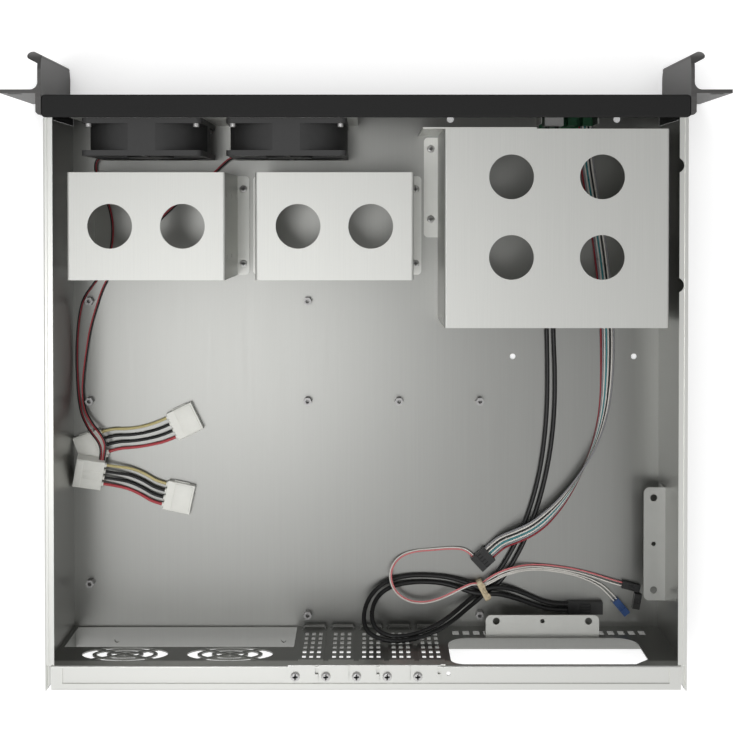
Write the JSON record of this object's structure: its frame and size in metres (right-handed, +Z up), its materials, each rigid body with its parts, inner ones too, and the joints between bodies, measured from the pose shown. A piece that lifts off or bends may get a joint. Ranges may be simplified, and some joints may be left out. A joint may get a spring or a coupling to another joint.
{
  "type": "rackmount computer case",
  "caption": "Open-topped rackmount computer case with a vented rear panel, drive cages, two axial fans, rack ears with pull handles, and loose internal leads.",
  "frame": {"origin": "middle of the tray's underside", "axes": "+Z up, -Y towards the front bezel, +X to the right of somebody who looks at the front"},
  "size_m": [0.4826, 0.4242, 0.0891],
  "materials": {
    "tray_steel": "satin zinc-grey sheet",
    "panel_steel": "satin zinc-grey sheet",
    "cover_steel": "satin zinc-grey sheet",
    "cage_steel": "satin zinc-grey sheet",
    "shelf_steel": "satin zinc-grey sheet",
    "plate_steel": "satin zinc-grey sheet",
    "bracket_steel": "satin zinc-grey sheet",
    "screws": "bright plated",
    "standoffs": "bright plated",
    "fan_plastic": "matte black",
    "rotor_plastic": "matte black",
    "bezel_paint": "matte black",
    "ear_aluminium": "dark anodised",
    "circuit_board": "green",
    "port_shell": "plated",
    "button_plastic": "matte black",
    "lamp_plastic": "clear, gloss",
    "white_plug": "white nylon",
    "black_plug": "black nylon",
    "tie_paper": "beige",
    "black_lead": "black, satin",
    "yellow_lead": "yellow, satin",
    "red_lead": "red, satin",
    "white_lead": "white, satin",
    "ribbon_leads": "eight colours, satin"
  },
  "bodies": {
    "case": {"bay_blank_cover": "bezel_paint", "bay_cage": "cage_steel", "board_standoffs": "standoffs", "cable_tie": "tie_paper", "cage_screws": "screws", "chassis_tray": "tray_steel", "drive_cage_1": "cage_steel", "drive_cage_2": "cage_steel", "ear_handle_left": "ear_aluminium", "ear_handle_right": "ear_aluminium", "ear_screws": "screws", "fan_1_frame": "fan_plastic", "fan_2_frame": "fan_plastic", "fan_lead_1": "black_lead", "fan_lead_2": "black_lead", "fan_plate": "plate_steel", "fan_screws": "screws", "front_bezel": "bezel_paint", "indicator_lamps": "lamp_plastic", "jumper_1_black_1": "black_lead", "jumper_1_black_2": "black_lead", "jumper_1_red": "red_lead", "jumper_1_yellow": "yellow_lead", "jumper_2_black_1": "black_lead", "jumper_2_black_2": "black_lead", "jumper_2_red": "red_lead", "jumper_2_yellow": "yellow_lead", "panel_lead_plugs": "black_plug", "panel_plug": "black_plug", "panel_ribbon": "ribbon_leads", "panel_rivets": "screws", "port_bracket": "bracket_steel", "power_plug_1": "white_plug", "power_plug_2": "white_plug", "power_plug_3": "white_plug", "power_plug_4": "white_plug", "psu_rear_shelf": "shelf_steel", "psu_side_shelf": "shelf_steel", "rear_panel": "panel_steel", "reset_lead": "white_lead", "slot_cover_1": "cover_steel", "slot_cover_2": "cover_steel", "slot_cover_3": "cover_steel", "slot_cover_4": "cover_steel", "slot_cover_5": "cover_steel", "slot_screws": "screws", "switch_board": "circuit_board", "switch_lead": "red_lead", "usb_cable_1": "black_lead", "usb_cable_2": "black_lead", "usb_header_plug": "black_plug", "usb_ports": "port_shell"},
    "fan_1_rotor": {"fan_1_rotor": "rotor_plastic"},
    "fan_2_rotor": {"fan_2_rotor": "rotor_plastic"},
    "power_button": {"power_button": "button_plastic"},
    "reset_button": {"reset_button": "button_plastic"}
  },
  "joints": [
    {"name": "fan_1_spin", "type": "hinge", "parent": "case", "child": "fan_1_rotor", "pos_m": [0.1486, -0.1775, 0.044], "axis": [0, 1, 0], "continuous": true},
    {"name": "fan_2_spin", "type": "hinge", "parent": "case", "child": "fan_2_rotor", "pos_m": [0.0528, -0.1775, 0.044], "axis": [0, 1, 0], "continuous": true},
    {"name": "power_press", "type": "slide", "parent": "case", "child": "power_button", "axis": [0, 1, 0], "range_m": [0, 0.0012], "stiffness_N_per_m": 400},
    {"name": "reset_press", "type": "slide", "parent": "case", "child": "reset_button", "axis": [0, 1, 0], "range_m": [0, 0.0012], "stiffness_N_per_m": 400}
  ]
}
